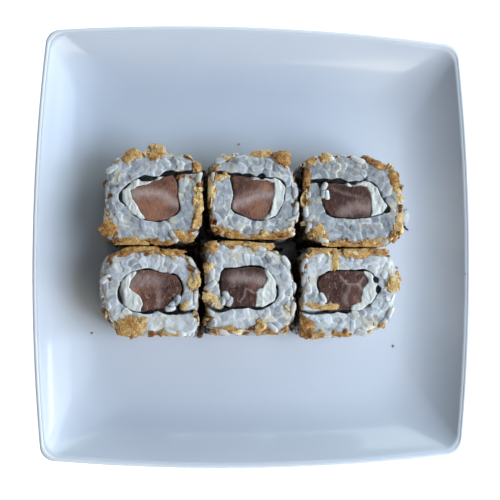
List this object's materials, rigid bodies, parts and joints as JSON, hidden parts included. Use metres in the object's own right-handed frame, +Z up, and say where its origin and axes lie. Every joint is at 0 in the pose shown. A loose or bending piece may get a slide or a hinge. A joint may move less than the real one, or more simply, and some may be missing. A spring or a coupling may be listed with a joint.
{
  "type": "uramaki roll",
  "caption": "Inside-out sushi slices with salmon, cream cheese, nori and a crisp onion crust, standing cut side up on a square white coupe plate.",
  "frame": {"origin": "under the middle of the plate, on the plane that its foot stands on", "axes": "+Z up through the slices' cut faces, +X to the right and +Y away as the picture shows the plate"},
  "size_m": [0.18, 0.18, 0.0352],
  "materials": {
    "glazed_porcelain": "smooth white glaze",
    "cooked_rice": "moist translucent grains with golden crisp flakes",
    "nori": "damp dark seaweed sheet",
    "raw_salmon": "moist flesh with pale fat bands",
    "cream_cheese": "soft white, slightly lumpy"
  },
  "bodies": {
    "root": {"plate": "glazed_porcelain", "rice_1": "cooked_rice", "nori_1": "nori", "salmon_1": "raw_salmon", "cheese_1": "cream_cheese", "rice_2": "cooked_rice", "nori_2": "nori", "salmon_2": "raw_salmon", "cheese_2": "cream_cheese", "rice_3": "cooked_rice", "nori_3": "nori", "salmon_3": "raw_salmon", "cheese_3": "cream_cheese", "rice_4": "cooked_rice", "nori_4": "nori", "salmon_4": "raw_salmon", "cheese_4": "cream_cheese", "rice_5": "cooked_rice", "nori_5": "nori", "salmon_5": "raw_salmon", "cheese_5": "cream_cheese", "rice_6": "cooked_rice", "nori_6": "nori", "salmon_6": "raw_salmon", "cheese_6": "cream_cheese"}
  },
  "joints": []
}
